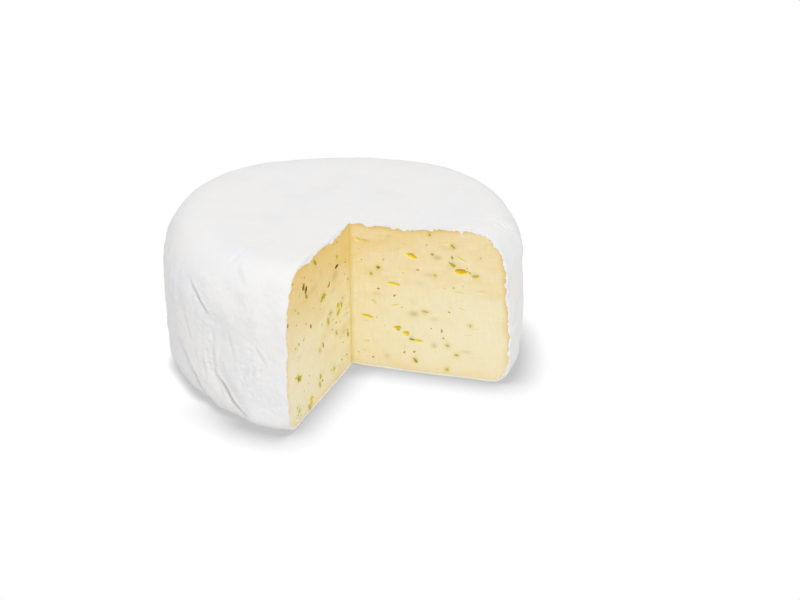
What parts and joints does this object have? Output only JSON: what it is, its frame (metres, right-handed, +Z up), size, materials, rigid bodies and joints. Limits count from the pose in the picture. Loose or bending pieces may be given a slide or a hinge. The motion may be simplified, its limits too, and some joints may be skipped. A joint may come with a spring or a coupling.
{
  "type": "soft cheese round",
  "caption": "Low soft cheese round with a white mould rind, a wedge cut out, and herb and chilli flecks in the pale yellow cut faces.",
  "frame": {"origin": "on the surface the cheese stands on, on the upright axis of the round", "axes": "+Z up along the axis of the round; the wedge is missing from the side between -Y and +X, and the left cut face looks towards +X"},
  "size_m": [0.1893, 0.1867, 0.0845],
  "materials": {
    "rind": "matte",
    "paste": "satin",
    "herb": "matte",
    "chilli": "satin",
    "pepper": "matte",
    "curd": "matte"
  },
  "bodies": {
    "root": {"cheese_round": "rind"}
  },
  "joints": []
}
